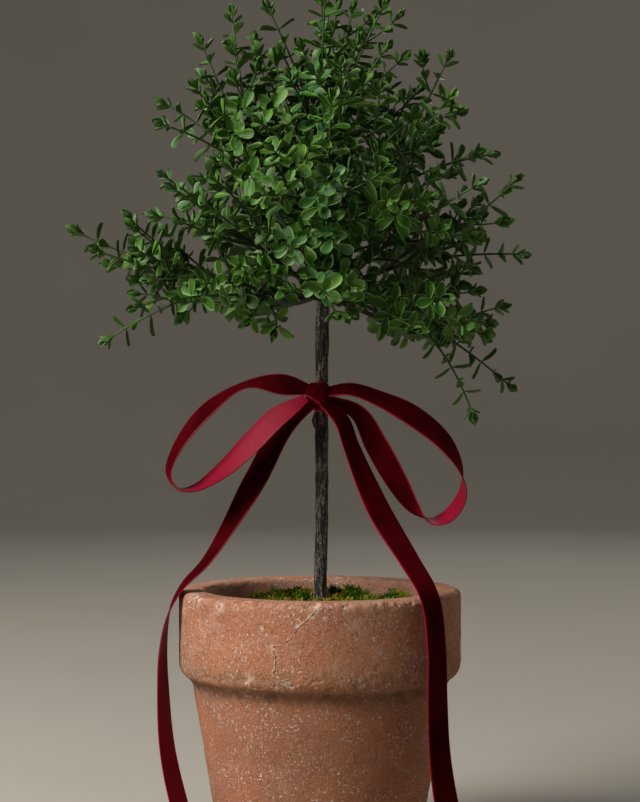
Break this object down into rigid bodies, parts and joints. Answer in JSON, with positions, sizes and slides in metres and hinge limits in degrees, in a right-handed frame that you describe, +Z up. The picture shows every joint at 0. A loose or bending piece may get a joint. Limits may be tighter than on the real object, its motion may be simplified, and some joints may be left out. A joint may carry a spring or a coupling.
{
  "type": "potted myrtle topiary",
  "caption": "Small-leaved myrtle standard: a loose head of leafy sprigs on a slim stem, tied with a velvet bow, standing in a clay pot filled with earth and moss.",
  "frame": {"origin": "centre of the pot's flat underside", "axes": "+Z up along the stem, -Y to the front where the bow is, +X to the right seen from the front"},
  "size_m": [0.2612, 0.2208, 0.476],
  "materials": {
    "clay": "matt unglazed terracotta",
    "earth": "dark crumbled potting earth",
    "moss": "dry cushion moss",
    "bark": "ridged dark bark",
    "leaves": "satin green leaves",
    "ribbon": "velvet with a satin back"
  },
  "bodies": {
    "root": {"pot": "clay", "earth": "earth", "moss": "moss", "stem": "bark", "bough_low_right": "bark", "sprigs_low_right": "leaves", "bough_low_back_right": "bark", "sprigs_low_back_right": "leaves", "bough_low_back_left": "bark", "sprigs_low_back_left": "leaves", "bough_low_left": "bark", "sprigs_low_left": "leaves", "bough_low_front_left": "bark", "sprigs_low_front_left": "leaves", "bough_low_front": "bark", "sprigs_low_front": "leaves", "bough_low_front_right": "bark", "sprigs_low_front_right": "leaves", "bough_mid_right": "bark", "sprigs_mid_right": "leaves", "bough_mid_back_right": "bark", "sprigs_mid_back_right": "leaves", "bough_mid_back_left": "bark", "sprigs_mid_back_left": "leaves", "bough_mid_left": "bark", "sprigs_mid_left": "leaves", "bough_mid_front": "bark", "sprigs_mid_front": "leaves", "bough_mid_front_right": "bark", "sprigs_mid_front_right": "leaves", "bough_high_right": "bark", "sprigs_high_right": "leaves", "bough_high_back": "bark", "sprigs_high_back": "leaves", "bough_high_left": "bark", "sprigs_high_left": "leaves", "bough_high_front": "bark", "sprigs_high_front": "leaves", "bough_crown": "bark", "sprigs_crown": "leaves", "ribbon_knot": "ribbon", "ribbon_band": "ribbon", "ribbon_loop_left_upper": "ribbon", "ribbon_loop_left_lower": "ribbon", "ribbon_loop_right_upper": "ribbon", "ribbon_loop_right_lower": "ribbon", "ribbon_tail_left": "ribbon", "ribbon_tail_right": "ribbon"}
  },
  "joints": []
}
